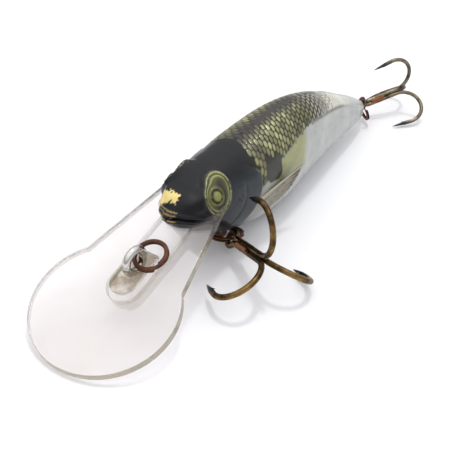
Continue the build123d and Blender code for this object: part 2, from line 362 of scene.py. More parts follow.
@dataclass(frozen=True)
class HookBronze(Finish):
    """Bronze-lacquered hook wire with the points honed down to dark grey steel."""

    point: str = "3B3B3C"

    def finish(self, tree: NodeTree, shader: Node) -> None:
        """Fades the bronze into grey steel near each point."""
        along = self.attribute(tree, "from_tip")
        honed = add(tree, "ShaderNodeMapRange", {0: along.outputs["Fac"], 1: 2.6, 2: 4.4, 3: 1.0, 4: 0.0})
        old = shader.inputs["Base Color"].links[0].from_socket
        colour = self.blend(tree, honed.outputs[0], old, linear(self.point))
        tree.links.new(colour, shader.inputs["Base Color"])


# deep lacquered paint: zone colours with a wet gloss, so the dark head mirrors the lamps
PAINT = PaintedBody("airbrushed paint under lacquer", "8E9060", roughness=0.40, coat=0.38, ior=1.2)
# foil-backed scales: warm glints between dark rims along the upper flank
SCALES = ScaleFoil("gold foil scales", "A9A96A", metallic=0.35, roughness=0.38, coat=0.3)
# milky fin plastic rubbed brown in uneven patches
FIN = Finish("worn grey-brown fin", "8A8475", "5E5748", cover=0.5, grain=0.9, roughness=0.42, coat=0.3)
# fin rays rubbed paler, and painted lighter still as a painted highlight where the ridges catch the light
# along the fin
FIN_RAY_WORN_AND_HIGHLIGHT = Finish("pale fin rays", "A39D8B", "6B6454", cover=0.4, grain=0.6, roughness=0.4, coat=0.3)
# aged clear plastic: faint pink-beige cast with a soft haze
CLEAR = Finish("aged clear plastic", "FAF4F1", "F3EAE1", cover=0.4, grain=7.0, roughness=0.05,
               blotch_roughness=0.10, transmission=0.96, ior=1.47, alpha=0.55)
# painted light: the plate's cut edges and walls are coloured olive-brown to stand in for the lines that light
# gathers into along them
CLEAR_EDGE_PAINTED_LINES = Finish("clear plastic edge", "857552", "5F5236", cover=0.4, grain=2.0, roughness=0.15,
                    transmission=0.75, ior=1.47, alpha=0.8)
# the dish floor round the line tie's foot: milky beige, less clear than the plate, with brown patches
MILKY = Finish("milky dish floor", "E2D5C4", "8A7555", cover=0.58, grain=1.3, roughness=0.3,
               transmission=0.5, ior=1.47, alpha=0.85)
# hard bright plating, a mirror; its dark grey patches are painted reflections standing in for crisp black
# reflections
SILVER = Finish("polished silver wire", "CFCDC8", "6A655C", cover=0.3, grain=0.8, metallic=1.0, roughness=0.1,
                blotch_roughness=0.25)
# rusted spring wire: dark brown with reddish bloom and a pitted skin
RUST = Finish("rusted spring wire", "4E3022", "7A4A2E", cover=0.45, grain=0.45, metallic=0.65, roughness=0.42,
              blotch_roughness=0.75, relief=0.03)
# warm bronze wire: golden streaks that break into dark brown
BRONZE = HookBronze("bronze hook wire", "86693F", "41321F", cover=0.54, grain=1.3, metallic=1.0,
                    roughness=0.26, blotch_roughness=0.42)
# the same wire gone grey: dull olive glints on the tail hooks
BRONZE_GREY = HookBronze("greyed bronze hook wire", "857A66", "413B33", cover=0.48, grain=1.1, metallic=1.0,
                         roughness=0.28, blotch_roughness=0.42)
# copper-red brazing run between the shanks
COPPER = Finish("copper braze", "8E5F3C", "5A4130", cover=0.4, grain=0.5, metallic=1.0, roughness=0.38)
# dull grey castings with a soft sheen
LEAD = Finish("cast lead", "75777B", "5C5E62", cover=0.4, grain=1.5, metallic=1.0, roughness=0.5)
# bright hard balls
STEEL = Finish("ball bearing steel", "C9CBCE", metallic=1.0, roughness=0.12)


# ------------------------------------------------------------------ geometry node trees
class PieceTree:
    """A geometry node tree with named inputs, which ends in real mesh dressed in one material."""

    def __init__(self, name: str, material: Material, **inputs: str) -> None:
        """Opens the tree.

        Args:
            name: the tree's name.
            material: what its mesh is dressed in.
            inputs: each value that the tree takes, with its kind of socket.
        """
        self.tree = bpy.data.node_groups.new(name, "GeometryNodeTree")
        self.material = material
        face = self.tree.interface
        face.new_socket("Geometry", in_out="INPUT", socket_type="NodeSocketGeometry")
        self.inputs = {k: face.new_socket(k, in_out="INPUT", socket_type=kind) for k, kind in inputs.items()}
        face.new_socket("Geometry", in_out="OUTPUT", socket_type="NodeSocketGeometry")
        self.start = self.node("NodeGroupInput").outputs

    def node(self, kind: str, ins: dict | None = None, **props) -> Node:
        """One more node in the tree."""
        return add(self.tree, kind, ins, **props)

    def stored(self, name: str, kind: str = "FLOAT") -> NodeSocket:
        """A value stored on the points under a name."""
        return self.node("GeometryNodeInputNamedAttribute", {"Name": name}, data_type=kind).outputs[0]

    def close(self, mesh: NodeSocket) -> None:
        """Ends the tree in plain mesh with its material."""
        real = self.node("GeometryNodeRealizeInstances", {0: mesh})
        done = self.node("GeometryNodeSetMaterial", {"Geometry": real.outputs[0], "Material": self.material})
        self.node("NodeGroupOutput", {0: done.outputs[0]})

    def applied(self, obj: Object, angle: float, **values: float) -> Object:
        """Runs the tree on an object.

        Args:
            obj: the object that holds the path or points; it is used up.
            angle: edges sharper than this, in degrees, stay sharp.
            values: what each named input is set to.
        Returns:
            The result as plain mesh at the origin.
        """
        modifier = obj.modifiers.new(self.tree.name, "NODES")
        modifier.node_group = self.tree
        for name, value in values.items():
            modifier[self.inputs[name].identifier] = value
        plain = flattened(obj)
        shade(plain, angle)
        return plain


class WireTree(PieceTree):
    """A tree that sweeps a round wire along every chain of edges, as thick as its stored radius says."""

    def __init__(self, name: str, material: Material, sides: int = 18) -> None:
        """Builds the sweep for one material, with so many sides to the wire."""
        super().__init__(name, material, Sides="NodeSocketInt")
        self.sides = sides
        curve = self.node("GeometryNodeMeshToCurve", {"Mesh": self.start["Geometry"]})
        ins = {"Curve": curve.outputs[0], "Radius": self.stored("wire_r")}
        thick = self.node("GeometryNodeSetCurveRadius", ins)
        ins = {"Resolution": self.start["Sides"], "Radius": 1.0}
        profile = self.node("GeometryNodeCurvePrimitiveCircle", ins)
        ins = {"Curve": thick.outputs[0], "Profile Curve": profile.outputs[0], "Fill Caps": True}
        swept = self.node("GeometryNodeCurveToMesh", ins)
        if "Scale" in swept.inputs:
            self.tree.links.new(self.node("GeometryNodeInputRadius").outputs[0], swept.inputs["Scale"])
        self.close(swept.outputs[0])

    def run(self, obj: Object) -> Object:
        """Sweeps the wire along the object's edges and returns it as plain mesh."""
        return self.applied(obj, 50, Sides=self.sides)


def wire_along(name: str, paths: list, tree: WireTree) -> Object:
    """Wires along several paths.

    Args:
        name: the piece's name.
        paths: for each wire its points (mm), its radius at each point and its distance from the tip.
        tree: the sweep to use.
    Returns:
        The finished wires as one mesh.
    """
    points, edges, radii, tips = [], [], [], []
    for path, radius, tip in paths:
        base = len(points)
        points += list(path)
        edges += [(base + i, base + i + 1) for i in range(len(path) - 1)]
        radii += list(np.broadcast_to(radius, len(path)))
        tips += list(np.broadcast_to(tip, len(path)))
    obj = mesh_object(name, points, [], edges)
    set_attribute(obj, "wire_r", "FLOAT", np.array(radii) * MM)
    set_attribute(obj, "from_tip", "FLOAT", np.array(tips))
    return tree.run(obj)


class CoilTree(PieceTree):
    """A tree that winds a split ring: two turns of flattened wire side by side."""

    def __init__(self, material: Material) -> None:
        """Builds the winding for one material."""
        super().__init__("split ring coil", material, Radius="NodeSocketFloat", Wire="NodeSocketFloat")
        wire, radius = self.start["Wire"], self.start["Radius"]
        pitch = self.node("ShaderNodeMath", {0: wire, 1: 1.9}, operation="MULTIPLY")
        ins = {"Resolution": 72, "Rotations": 1.94, "Start Radius": radius, "End Radius": radius}
        coil = self.node("GeometryNodeCurveSpiral", {**ins, "Height": pitch.outputs[0]})
        down = self.node("ShaderNodeMath", {0: wire, 1: -0.95}, operation="MULTIPLY")
        shift = self.node("ShaderNodeCombineXYZ", {2: down.outputs[0]})
        ins = {"Geometry": coil.outputs[0], "Translation": shift.outputs[0]}
        centred = self.node("GeometryNodeTransform", ins)
        profile = self.node("GeometryNodeCurvePrimitiveCircle", {"Resolution": 12, "Radius": wire})
        flat = self.node("GeometryNodeTransform", {"Geometry": profile.outputs[0], "Scale": (0.86, 0.5, 1.0)})
        ins = {"Curve": centred.outputs[0], "Profile Curve": flat.outputs[0], "Fill Caps": True}
        self.close(self.node("GeometryNodeCurveToMesh", ins).outputs[0])

    def run(self, name: str, place: Matrix, radius: float, wire: float) -> Object:
        """Winds one split ring.

        Args:
            name: the piece's name.
            place: where the ring's middle and axis lie, and where its wire starts.
            radius: radius of the ring (mm); wire: half width of its wire (mm).
        Returns:
            The ring as plain mesh.
        """
        obj = mesh_object(name, np.zeros((1, 3)), [])
        obj.matrix_world = place
        return self.applied(obj, 50, Radius=radius * MM, Wire=wire * MM)


class ScaleTree(PieceTree):
    """A tree that lays one scale on every point, along the stored normal and tail direction."""

    def __init__(self, scale: Object, material: Material) -> None:
        """Builds the laying of one scale shape in one material."""
        super().__init__("laid scales", material, Size="NodeSocketFloat")
        ins = {"Primary Axis": self.stored("normal_out", "FLOAT_VECTOR"),
               "Secondary Axis": self.stored("aft", "FLOAT_VECTOR")}
        turn = self.node("FunctionNodeAxesToRotation", ins, primary_axis="Z", secondary_axis="X")
        ins = {0: self.stored("size"), 1: self.start["Size"]}
        scaled = self.node("ShaderNodeMath", ins, operation="MULTIPLY")
        shape = self.node("GeometryNodeObjectInfo", {"Object": scale})
        points = self.node("GeometryNodeMeshToPoints", {"Mesh": self.start["Geometry"]})
        ins = {"Points": points.outputs[0], "Instance": shape.outputs["Geometry"]}
        ins |= {"Rotation": turn.outputs[0], "Scale": scaled.outputs[0]}
        laid = self.node("GeometryNodeInstanceOnPoints", ins)
        self.close(laid.outputs[0])

    def run(self, points: Object) -> Object:
        """The scales as plain mesh."""
        return self.applied(points, 60, Size=1.0)


# ------------------------------------------------------------------ the fish body
@dataclass
class FishBody:
    """The hollow painted body as two half shells, each with its eye, gill cover, scales and fin."""

    nose: tuple = (-8.55, 0.0, 3.05)
    pitch: float = 7.0
    length: float = 62.0
    squareness: float = 2.22
    wall: float = 1.1
    eye: tuple = (-14.85, 4.35, 5.4)
    eye_normal: tuple = (0.15, 0.80, 0.58)
    around: int = 140
    spot_at: tuple = (20.2, 3.7)
    spot_reach: tuple = (2.1, 2.2)
    scale_row: float = 0.82
    scale_pitch: float = 1.35
    row_lean: float = 0.22
    stations: tuple = (
        (0.0, 1.3, -1.0, 1.2),
        (1.0, 2.7, -2.2, 2.7),
        (3.5, 4.4, -3.7, 4.4),
        (8.0, 6.3, -5.5, 5.6),
        (14.0, 7.6, -7.2, 6.4),
        (21.0, 9.1, -8.2, 6.7),
        (29.0, 10.4, -7.8, 6.2),
        (37.0, 10.3, -6.0, 5.2),
        (45.0, 8.6, -4.4, 4.2),
        (53.0, 5.7, -3.3, 3.1),
        (59.0, 3.5, -2.7, 2.2),
        (62.0, 2.1, -2.1, 1.5),
    )

    def __post_init__(self) -> None:
        """Works out the body's own axes and its curves."""
        p = math.radians(self.pitch)
        self.aft = np.array([-math.cos(p), 0, -math.sin(p)])
        self.up = np.array([-math.sin(p), 0, math.cos(p)])
        table = np.array(self.stations).T
        self.xs, self.curves = table[0], table[1:]

    def section(self, s: Array) -> tuple:
        """Top, bottom and half width of the section at each distance from the nose."""
        return tuple(through(s, self.xs, c) for c in self.curves)

    def grid(self, s: Array, angle: Array, inset: float = 0.0) -> tuple:
        """Points of the plain surface with their height and side offset.

        Args:
            s: distances from the nose; angle: degrees up from the widest line; inset: how far inside.
        Returns:
            Points (mm), heights above the axis and side offsets.
        """
        top, bottom, half = self.section(np.clip(s, 0, self.length))
        shut = np.sqrt(np.clip(1 - (s / 0.76) ** 2, 0, 1)) * (s < 0) + (s >= 0)
        shut = shut * np.sqrt(np.clip(1 - ((s - self.length) / 0.36) ** 2, 0, 1)) ** (s > self.length)
        middle = (top + bottom) / 2
        top, bottom, half = middle + (top - middle) * shut, middle + (bottom - middle) * shut, half * shut
        power = 2 / self.squareness
        c, d = np.cos(np.radians(angle)), np.sin(np.radians(angle))
        y = np.maximum(half - inset, 0.01) * np.sign(c) * np.abs(c) ** power
        rise = np.maximum((top - bottom) / 2 - inset, 0.01)
        h = (top + bottom) / 2 + rise * np.sign(d) * np.abs(d) ** power
        p = np.array(self.nose) + s[..., None] * self.aft + h[..., None] * self.up
        return p + y[..., None] * np.array([0, 1, 0]), h, y

    def gill_edge(self, h: Array) -> Array:
        """How far back the gill cover reaches at each height."""
        over = np.maximum(h - 3.0, 0)
        under = np.minimum(h - 3.0, 0)
        return 16.2 - 0.15 * over**2 - 0.05 * over**3 - 0.08 * under**2

    def spot(self, s: Array, h: Array) -> Array:
        """Distance from the middle of the dark flank spot, 1 at its edge."""
        (s0, h0), (long, high) = self.spot_at, self.spot_reach
        return ((s - s0) / long) ** 4 + ((h - h0) / high) ** 4

    def band_floor(self, s: Array) -> Array:
        """Lowest height of the scaled band at each distance from the nose."""
        return through(s, np.array([15.0, 18.0, 22.0, 26.0, 31.5, 36.0, 41.0, 62.0]),
                       np.array([1.2, 2.2, 4.4, 5.6, 7.0, 7.1, 7.0, 2.0]))

    def side_line(self, s: Array) -> Array:
        """Height of the lateral line at each distance from the nose."""
        return through(s, np.array([15.0, 30.0, 36.2, 47.2, 60.0]), np.array([6.4, 7.2, 7.0, 5.8, 1.6]))

    def eye_radius(self, p: Array, side: Side) -> tuple:
        """How the eye's rings run over the face.

        Args:
            p: points (mm) on the left flank.
            side: which shell they are for; the right eye sits a little lower.
        Returns:
            Ring distance from the eye's axis, height over its plane, its normal and offset to the front.
        """
        drop = 1.0 if side is Side.RIGHT else 0.0
        n = unit(np.array(self.eye_normal) + drop * np.array([0.0, 0.10, -0.16]))
        rel = p - np.array(self.eye) - drop * np.array([0.0, 0.45, -1.1])
        high = rel @ n
        tall = unit(np.array([-0.498, -0.446, 0.744]))
        b = rel @ tall
        a = rel @ np.cross(n, tall)
        outer = smooth(1.0, 2.6, np.hypot(a, b))
        stretch = 1 + 0.42 * smooth(1.6, 3.0, np.hypot(a, b))
        across = (a + 0.35 * outer) / (0.92 - 0.10 * outer)
        return np.hypot(across, np.where(b > 0, b / stretch, b)), high, n, a

    def sculpt(self, p: Array, s: Array, h: Array, y: Array, angle: Array, side: Side) -> Array:
        """Raises the moulded relief from the plain surface.

        Args:
            p: points (mm) of the plain surface, on the left flank.
            s: their distances from the nose; h, y: heights and side offsets; angle: degrees up.
            side: which shell it is for.
        Returns:
            The moved points.
        """
        normal = unit(np.cross(np.gradient(p, axis=0), np.gradient(p, axis=1)))
        normal *= np.sign(normal[..., 1].mean())
        back = s - self.gill_edge(h)
        flank = smooth(-7.0, -4.0, h) * smooth(6.2, 4.2, h)
        lift = 0.34 * smooth(0.25, -0.15, back) * smooth(-7.0, -0.6, back) * flank
        lift -= 0.14 * bump_at(back, 0.35, 0.28) * flank
        lift -= 0.12 * bump_at(back, -3.9, 0.22) * flank * smooth(4.5, 3.0, h)
        slit = h - (0.35 - 0.16 * s)
        mouth = smooth(5.5, 3.5, s)
        lift += mouth * (0.22 * bump_at(slit, 0.55, 0.35) + 0.20 * bump_at(slit, -0.55, 0.35))
        lift -= mouth * 0.40 * bump_at(slit, 0, 0.2)
        brow = (h - 2.6) - 0.30 * (s - 1.5)
        lift += 0.22 * bump_at(brow, 0, 0.5) * smooth(0.8, 2.2, s) * smooth(5.6, 3.8, s) * smooth(0.6, 1.8, y)
        side = h - self.side_line(s)
        lift -= 0.07 * bump_at(side, 0, 0.22) * smooth(33, 36, s) * smooth(61, 58, s)
        lift += 0.12 * smooth(78, 90, angle) * smooth(36, 42, s) * smooth(60, 55, s)
        lift += 0.015 * ripple(p[..., 0], p[..., 1], p[..., 2], 2.2) * smooth(1, 4, s)
        out = p + normal * lift[..., None]
        rho, high, n, front = self.eye_radius(p, side)
        level = smooth(3.2, 1.6, rho) * 0.55 * (0.15 - high)
        profile = 0.42 * smooth(3.7, 2.9, rho) + 0.30 * np.exp(-((rho / 0.80) ** 4))
        profile -= 0.16 * bump_at(rho, 1.10, 0.2)
        profile += 0.12 * bump_at(rho, 1.42, 0.13) - 0.20 * bump_at(rho, 1.85, 0.36)
        profile += 0.20 * bump_at(rho, 2.35, 0.15) - 0.14 * bump_at(rho, 2.62, 0.10)
        profile += 0.16 * bump_at(rho, 2.88, 0.14)
        return out + n * ((profile + level) * smooth(3.0, 1.9, front) * (y > 0.8))[..., None]

    def paint(self, p: Array, s: Array, h: Array, y: Array, angle: Array, side: Side) -> Array:
        """Sprays the body's colours on, from the belly up.

        Args:
            p: points (mm) of the plain surface, on the left flank.
            s: their distances from the nose; h, y: heights and side offsets; angle: degrees up.
            side: which shell it is for.
        Returns:
            The colour at every point, with how metallic it is in the alpha.
        """
        x, z = p[..., 0], p[..., 2]
        wave = ripple(x, y * 1.7, z, 2.5)
        fine = ripple(x, y * 1.3, z, 0.7)
        colour = np.broadcast_to(linear("B2B4B1"), s.shape + (4,)).copy()
        colour[..., 3] = 0.0

        def lay(hex_colour: str, mask: Array, metal: float = 0.0) -> None:
            """Sprays a colour on through a mask."""
            tint = linear(hex_colour)
            tint[3] = metal
            colour[:] = colour + (tint - colour) * np.clip(mask, 0, 1)[..., None]

        back = s - self.gill_edge(h)
        low = self.band_floor(s)
        # translucent belly with a cooler lower edge, then the olive patch behind the spot
        lay("A6A8A8", smooth(-0.5, -4.5, h) * 0.6)
        lay("8F9283", smooth(7.0, 2.0, back) * smooth(4.5, 2.5, h) * smooth(-5.0, -1.0, h) * 0.9)
        lay("85827A", smooth(8.0, 3.0, back) * smooth(0.0, -2.0, h) * 0.75)
        lay("999A6E", smooth(19.5, 22.0, s) * smooth(32.6, 29.6, s) * smooth(-0.5, 1.0, h + 0.1 * wave))
        # base of the scale band, darker up the back
        band = smooth(low - 0.25, low + 0.25, h + 0.12 * fine)
        fade = smooth(44, 37, s + wave)
        lay("A9A89C", band * smooth(50, 42, s))
        lay("38362A", band * fade)
        lay("2A2721", band * smooth(75, 88, angle + 3 * wave) * smooth(40, 32, s))
        lay("3F3E38", smooth(78, 89, angle + 3 * wave) * smooth(46, 36, s))
        # cream patch on the tail, closed below by the dark lateral line
        line = h - self.side_line(s)
        lay("CBCABE", smooth(41.5, 42.6, s + 0.3 * fine) * smooth(0.1, 0.4, line) * smooth(57, 52, s))
        lay("77776F", bump_at(line, 0.0, 0.28) * smooth(33, 36, s) * smooth(52, 48, s))
        lay("8E8F8B", bump_at(angle, 90, 7.0) * smooth(41, 44, s) * smooth(58, 52, s))
        lay("A5A7A5", smooth(58.5, 61.5, s) * 0.6)
        # dark oval spot
        spot = self.spot(s, h)
        lay("3A3B35", smooth(1.15, 0.9, spot + 0.04 * fine))
        # head: black crown, blue-grey cheek, brown jaw edge
        crown = smooth(17.5, 13.0, s + 0.35 * (6.5 - h) * (h < 6.5) + 0.5 * wave)
        lay("33383B", smooth(0.25, -0.25, back))
        lay("17181A", smooth(27, 15, s + 0.8 * wave) * smooth(5.6, 7.4, h))
        lay("101114", np.maximum(crown * smooth(3.6, 5.6, h), smooth(10.5, 6.5, s + 0.6 * wave)))
        lay("18191C", smooth(-3.0, -5.0, h) * smooth(15.5, 13.0, s) * 0.85)
        lay("4A3E33", smooth(-1.2, -2.6, h) * smooth(4.5, 2.0, s) * 0.7)
        # painted highlight: a pale line just behind the gill cover's raised edge; then a dark line right on
        # the edge
        lay("9A9C90", bump_at(back, 0.35, 0.22) * smooth(5.5, 4.0, h) * smooth(-3.5, -1.0, h) * 0.55)
        lay("1C1E20", bump_at(back, 0.05, 0.14) * smooth(6.5, 5.5, h) * smooth(-3.5, -1.0, h) * 0.9)
        lay("101113", smooth(0.2, 0.8, fine) * bump_at(s, 10.6, 1.1) * bump_at(h, 1.4, 1.4) * (y > 2))
        # worn gold and silver about the mouth
        slit = h - (0.35 - 0.16 * s)
        worn = smooth(2.35, 1.9, s + 0.3 * fine) * smooth(0.55, 1.0, s + 0.3 * wave) * smooth(0.5, 1.0, h)
        worn = worn * smooth(0.9, 0.2, y * side.value + 0.3 * fine) * smooth(-3.7, -3.2, y * side.value)
        lay("EAD58A", smooth(0.35, 0.6, worn), 0.35)
        lips = bump_at(slit, 0.42, 0.13) + bump_at(slit, -0.42, 0.11) + bump_at(slit, 0.95, 0.12)
        lips = lips * smooth(1.9, 0.8, s + 0.4 * fine) * smooth(1.6, 0.9, y * side.value)
        lay("9C8458", smooth(0.35, 0.7, lips + 0.15 * fine), 0.5)
        # eye: green-gold rings with dark worn outlines about a small dome, its top painted lighter as painted
        # light and one dark ring deepened on its aft side as painted shade
        rho, _, _, front = self.eye_radius(p, side)
        seen = (y > 0.8) * 1.0
        reach = 3.15 if side is Side.LEFT else 2.1
        lay("62653C", seen * smooth(reach, reach - 0.4, rho + 0.08 * fine))
        # painted light: the top of the eye is painted lighter
        lay("8C8F4A", seen * smooth(reach, reach - 0.4, rho) * smooth(4.9, 5.9, h))
        lay("4C4F34", seen * bump_at(rho, 2.9, 0.3) * smooth(-0.2, 0.8, wave) * 0.7)
        lay("787B48", seen * bump_at(rho, 1.45, 0.35) * 0.8)
        # a dark ring all round, deepened on its aft side as painted shade
        lay("383634", seen * bump_at(rho, 1.80, 0.36) * (0.15 + 0.85 * smooth(0.6, -0.8, front + 0.4 * wave)))
        lay("1E1E18", seen * bump_at(rho, 2.58, 0.09) * 0.8)
        lay("9C9E70", seen * bump_at(rho, 2.36, 0.10), 0.2)
        lay("C0C09A", seen * bump_at(rho, 2.84, 0.08) * smooth(-1.0, 0.2, fine), 0.2)
        lay("1C1C16", seen * bump_at(rho, 1.05, 0.22) * smooth(-1.3, -0.2, fine))
        lay("84874F", seen * smooth(0.82, 0.68, rho))
        lay("20211A", seen * bump_at(rho, 3.08, 0.10) * smooth(-0.9, 0.1, fine) * 0.7)
        return colour

    def scale_points(self, side: Side) -> Object:
        """One point for every scale, in rows that lean aft as they climb the flank."""
        pitch, fine = self.scale_pitch, np.linspace(90, -10, 600)
        places = []
        for i, s0 in enumerate(np.arange(16.0, 47.5, self.scale_row)):
            ring = self.grid(np.full(600, s0), fine)[0]
            girth = np.append(0, np.cumsum(np.linalg.norm(np.diff(ring, axis=0), axis=1)))
            wanted = np.arange(0.35 + pitch / 2 * (i % 2), girth[-1], pitch)
            angles = np.interp(wanted, girth, fine)
            places += [(s0 - self.row_lean * w, a) for w, a in zip(wanted, angles)]
        s, angle = np.array(places).T
        h = self.grid(s, angle)[1]
        low = self.band_floor(s)
        spot = self.spot(s, h)
        keep = (h > low + 0.15) & (spot > 1.05) & (s > self.gill_edge(h) + 0.8) & (s > 16) & (s < 44.5)
        s, angle = s[keep], angle[keep]
        p = self.grid(s, angle)[0]
        along = self.grid(s + 0.05, angle)[0] - p
        across = self.grid(s, np.minimum(angle + 0.5, 89.5))[0] - p
        normal = unit(np.cross(across, along))
        normal *= np.sign(normal[..., 1:2] + 1e-9)
        lean = unit(unit(along) - 0.40 * unit(across))
        rng = np.random.default_rng(7)
        size = 0.95 - 0.010 * (s - 18) + rng.uniform(-0.05, 0.05, len(s))
        olive, bright, brown, pale = (linear(c) for c in ("5A5A3A", "B7B682", "383229", "A39F90"))
        glow = (0.5 + 0.5 * ripple(p[:, 0], p[:, 1], p[:, 2], 3.0)) * rng.uniform(0.4, 1.0, len(s))
        tone = olive + (bright - olive) * np.clip(glow, 0, 1)[:, None]
        tone = tone + (brown - tone) * smooth(72, 87, angle)[:, None]
        tone = tone + (brown * 0.8 - tone) * smooth(22, 18, s)[:, None] * 0.45
        tone = tone + (pale - tone) * smooth(33, 38, s)[:, None]
        p = p - normal * 0.03
        for v in (p, normal, lean):
            v[:, 1] *= side.value
        obj = mesh_object(f"{side.name.lower()}_scales", p, [])
        set_attribute(obj, "normal_out", "FLOAT_VECTOR", normal)
        set_attribute(obj, "aft", "FLOAT_VECTOR", lean)
        set_attribute(obj, "size", "FLOAT", size)
        set_attribute(obj, "tone", "FLOAT_COLOR", np.column_stack([tone[:, :3], np.ones(len(s))]))
        return obj

    def shell(self, side: Side) -> Object:
        """One closed half shell: sculpted outside, plain inside, joined along the seam."""
        nose = -0.75 * np.cos(np.linspace(0, math.pi / 2, 10, endpoint=False))
        trunk = np.concatenate([np.linspace(0, 24, 190, endpoint=False), np.linspace(24, self.length, 150)])
        tail = self.length + 0.35 * np.sin(np.linspace(0, math.pi / 2, 8))[1:]
        s_line = np.concatenate([nose, trunk, tail])
        a_out = np.linspace(90, -90, self.around)
        s, angle = np.meshgrid(s_line, a_out, indexing="ij")
        plain, h, y = self.grid(s, angle)
        outer = self.sculpt(plain, s, h, y, angle, side)
        outer[:, 0, 1] = outer[:, -1, 1] = 0.0
        colour = self.paint(plain, s, h, y, angle, side)
        a_in = np.linspace(-90, 90, 26)
        s_in, angle_in = np.meshgrid(2.2 + (s_line + 0.75) / 63.1 * 58.0, a_in, indexing="ij")
        inner = self.grid(s_in, angle_in, self.wall)[0]
        inner[:, 0, 1] = inner[:, -1, 1] = 0.0
        loop = np.concatenate([outer, inner], axis=1)
        paint = np.concatenate([colour, np.broadcast_to(linear("9A9A92"), inner.shape[:2] + (4,))], axis=1)
        paint[:, self.around :, 3] = 0.0
        obj = skin(f"{side.name.lower()}_half", loop, side)
        set_attribute(obj, "paint", "FLOAT_COLOR", paint)
        obj.data.materials.append(PAINT.make())
        shade(obj, 55)
        return obj

    def build(self, scales: ScaleTree, fin: "PectoralFin") -> None:
        """Both halves, each with its scales and fin, hung on the lure's body."""
        for side in Side:
            parts = [self.shell(side), scales.run(self.scale_points(side)), *fin.build(side)]
            piece = joined(parts, f"{side.name.lower()}_painted_half")
            mount(piece, "lure_body", "painted_body", f"{side.name.lower()}_body_shell")


def master_scale() -> Object:
    """One fish scale: a shallow lens whose tail edge stands clear, with its rim marked."""
    points, rims, faces = [(0.0, 0.0, 0.10)], [0.0], []
    count = 14
    for share, height, rim in ((0.50, 0.10, 0.0), (0.80, 0.08, 0.5), (1.0, 0.02, 1.0), (0.97, -0.12, 1.0)):
        for k in range(count):
            a = 2 * math.pi * k / count
            x = 0.45 * share * math.cos(a)
            y = 0.84 * share * math.sin(a)
            points.append((x, y, height * 0.8 + 0.11 * x))
            rims.append(rim)
    for k in range(count):
        j = (k + 1) % count
        faces.append((0, 1 + k, 1 + j))
        for ring in range(3):
            a, b = 1 + ring * count, 1 + (ring + 1) * count
            faces.append((a + k, b + k, b + j, a + j))
    faces.append(tuple(1 + 3 * count + k for k in reversed(range(count))))
    scale = mesh_object("scale", np.array(points), faces)
    set_attribute(scale, "rim", "FLOAT", np.array(rims))
    return scale


@dataclass
class PectoralFin:
    """A swept fin of thin plastic with fanning rays."""

    root: tuple = (-24.4, 6.3, 0.6)
    tip: tuple = (-35.0, 8.0, 2.9)
    lower_root: tuple = (-27.4, 5.8, -3.0)
    rays: int = 9

    def outline(self, b: Array) -> tuple:
        """Root and outer ends of the ray at each share from the upper edge to the lower."""
        span = math.dist(self.root, self.tip)
        root = np.column_stack([2.6 * b, -4.4 * b])
        reach = span * (1 - 0.60 * b**1.15)
        drop = -5.4 * b**0.9 + 0.9 * b**2
        return root, np.column_stack([reach, drop])

    def place(self, local: Array, lift: Array) -> Array:
        """Lays the fin's plane on the flank.

        Args:
            local: points of the plane, along the upper edge and down from it (mm).
            lift: how far each stands off the plane (mm).
        Returns:
            The points in the part's frame.
        """
        root, tip, low = (np.array(v) for v in (self.root, self.tip, self.lower_root))
        u = unit(tip - root)
        n = unit(np.cross(u, low - root))
        n = n * np.sign(n[1])
        v = np.cross(n, u)
        v = v * np.sign(v[2])
        return root + local[..., :1] * u + local[..., 1:] * v + lift[..., None] * n

    def build(self, side: Side) -> list[Object]:
        """The fin's blade and its rays, as two objects to be joined with the shell."""
        b = np.linspace(0, 1, 73)
        a = np.linspace(0, 1, 40)
        root, end = self.outline(b)
        local = root[None] + (end - root)[None] * a[:, None, None]
        groove = 0.07 * np.cos(2 * math.pi * self.rays * b)[None] * (0.3 + 0.7 * a[:, None])
        edge = np.minimum(smooth(0, 0.06, b), smooth(1, 0.94, b))[None] * smooth(1.0, 0.9, a)[:, None]
        bow = (0.5 * np.sin(math.pi * b) ** 1.0)[None] * a[:, None]
        upper = self.place(local, bow + 0.14 + (0.18 + groove) * edge)
        lower = self.place(local, bow + 0.14 - 0.18 * edge)
        loop = np.concatenate([upper, lower[:, ::-1]], axis=1)
        blade = skin("fin_blade", loop, side)
        blade.data.materials.append(FIN.make())
        shade(blade, 60)
        paths = []
        for k in range(self.rays):
            share = np.array([(k + 0.12) / (self.rays - 0.6)])
            root_k, end_k = self.outline(share)
            t = np.linspace(0, 0.97, 14)
            line = root_k + (end_k - root_k) * t[:, None]
            path = self.place(line, 0.5 * math.sin(math.pi * share[0]) * t + 0.30)
            path[:, 1] *= side.value
            paths.append((path, (0.17 if k else 0.30) * (1 - 0.72 * t), 9.0))
        # the rays wear the paler finish: rubbed wear plus a painted highlight
        rays = wire_along("fin_rays", paths, WireTree("fin ray", FIN_RAY_WORN_AND_HIGHLIGHT.make(), 8))
        return [blade, rays]


